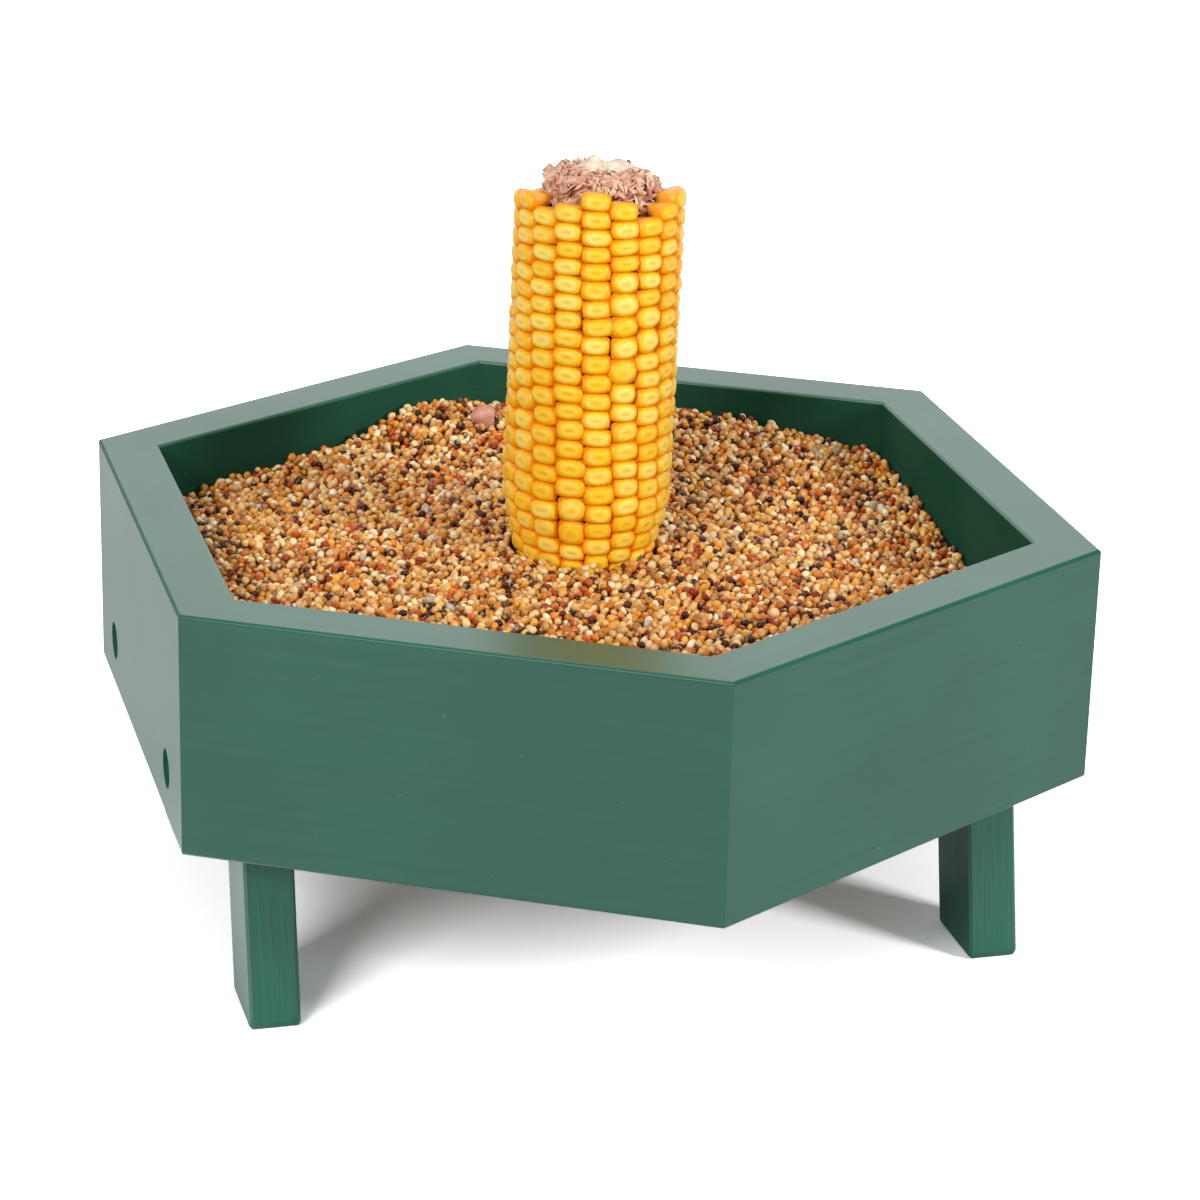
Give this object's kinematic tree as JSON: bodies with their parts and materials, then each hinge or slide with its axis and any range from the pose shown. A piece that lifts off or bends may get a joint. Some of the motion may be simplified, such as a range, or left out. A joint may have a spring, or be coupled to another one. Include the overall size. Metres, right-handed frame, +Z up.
{
  "type": "ground bird feeder",
  "caption": "Open hexagonal wooden tray on splayed folding legs, with a seed bed over a mesh floor and a corn cob on a central spike, for feeding birds on the ground.",
  "frame": {"origin": "on the ground under the middle of the tray", "axes": "+Z up, +Y from the front corner of the hexagon to its back corner, +X to the right wall"},
  "size_m": [0.3118, 0.36, 0.2672],
  "materials": {
    "green_paint": "satin green paint over smooth solid wood",
    "bare_plywood": "bare plywood strip",
    "painted_bolt": "steel painted over with the walls",
    "zinc_steel": "zinc plated steel",
    "mesh_steel": "galvanised welded wire",
    "mixed_seed": "loose mixed seed, glossy husks",
    "corn_cob_core": "dry chaffy cob",
    "corn_kernel": "smooth waxy kernels"
  },
  "bodies": {
    "tray": {"wall_right": "green_paint", "wall_back_right": "green_paint", "wall_back_left": "green_paint", "wall_left": "green_paint", "wall_front_left": "green_paint", "wall_front_right": "green_paint", "cleat_right": "green_paint", "cleat_back_right": "green_paint", "cleat_back_left": "green_paint", "cleat_left": "green_paint", "cleat_front_left": "green_paint", "cleat_front_right": "green_paint", "corner_splines": "bare_plywood", "leg_bolts": "painted_bolt", "leg_spacers": "zinc_steel", "leg_washers": "zinc_steel", "leg_lock_nuts": "zinc_steel", "spike_bar": "green_paint", "floor_mesh": "mesh_steel", "mesh_ring": "zinc_steel", "corn_spike": "zinc_steel", "spike_washers": "zinc_steel", "spike_nuts": "zinc_steel", "seed_bed": "mixed_seed"},
    "leg_front_left": {"leg_front_left": "green_paint"},
    "leg_front_right": {"leg_front_right": "green_paint"},
    "leg_back_left": {"leg_back_left": "green_paint"},
    "leg_back_right": {"leg_back_right": "green_paint"},
    "corn": {"corn_core": "corn_cob_core", "corn_kernel_rows": "corn_kernel"}
  },
  "joints": [
    {"name": "front_left_leg_fold", "type": "hinge", "parent": "tray", "child": "leg_front_left", "pos_m": [-0.12593, -0.05891, 0.0825], "axis": [1, 0, 0], "range_deg": [0, 102]},
    {"name": "front_right_leg_fold", "type": "hinge", "parent": "tray", "child": "leg_front_right", "pos_m": [0.12593, -0.05891, 0.0825], "axis": [1, 0, 0], "range_deg": [0, 102]},
    {"name": "back_left_leg_fold", "type": "hinge", "parent": "tray", "child": "leg_back_left", "pos_m": [-0.12593, 0.05891, 0.0825], "axis": [-1, 0, 0], "range_deg": [0, 47]},
    {"name": "back_right_leg_fold", "type": "hinge", "parent": "tray", "child": "leg_back_right", "pos_m": [0.12593, 0.05891, 0.0825], "axis": [-1, 0, 0], "range_deg": [0, 47]},
    {"name": "corn_lift", "type": "slide", "parent": "tray", "child": "corn", "axis": [0, 0, 1], "range_m": [0, 0.1]}
  ]
}
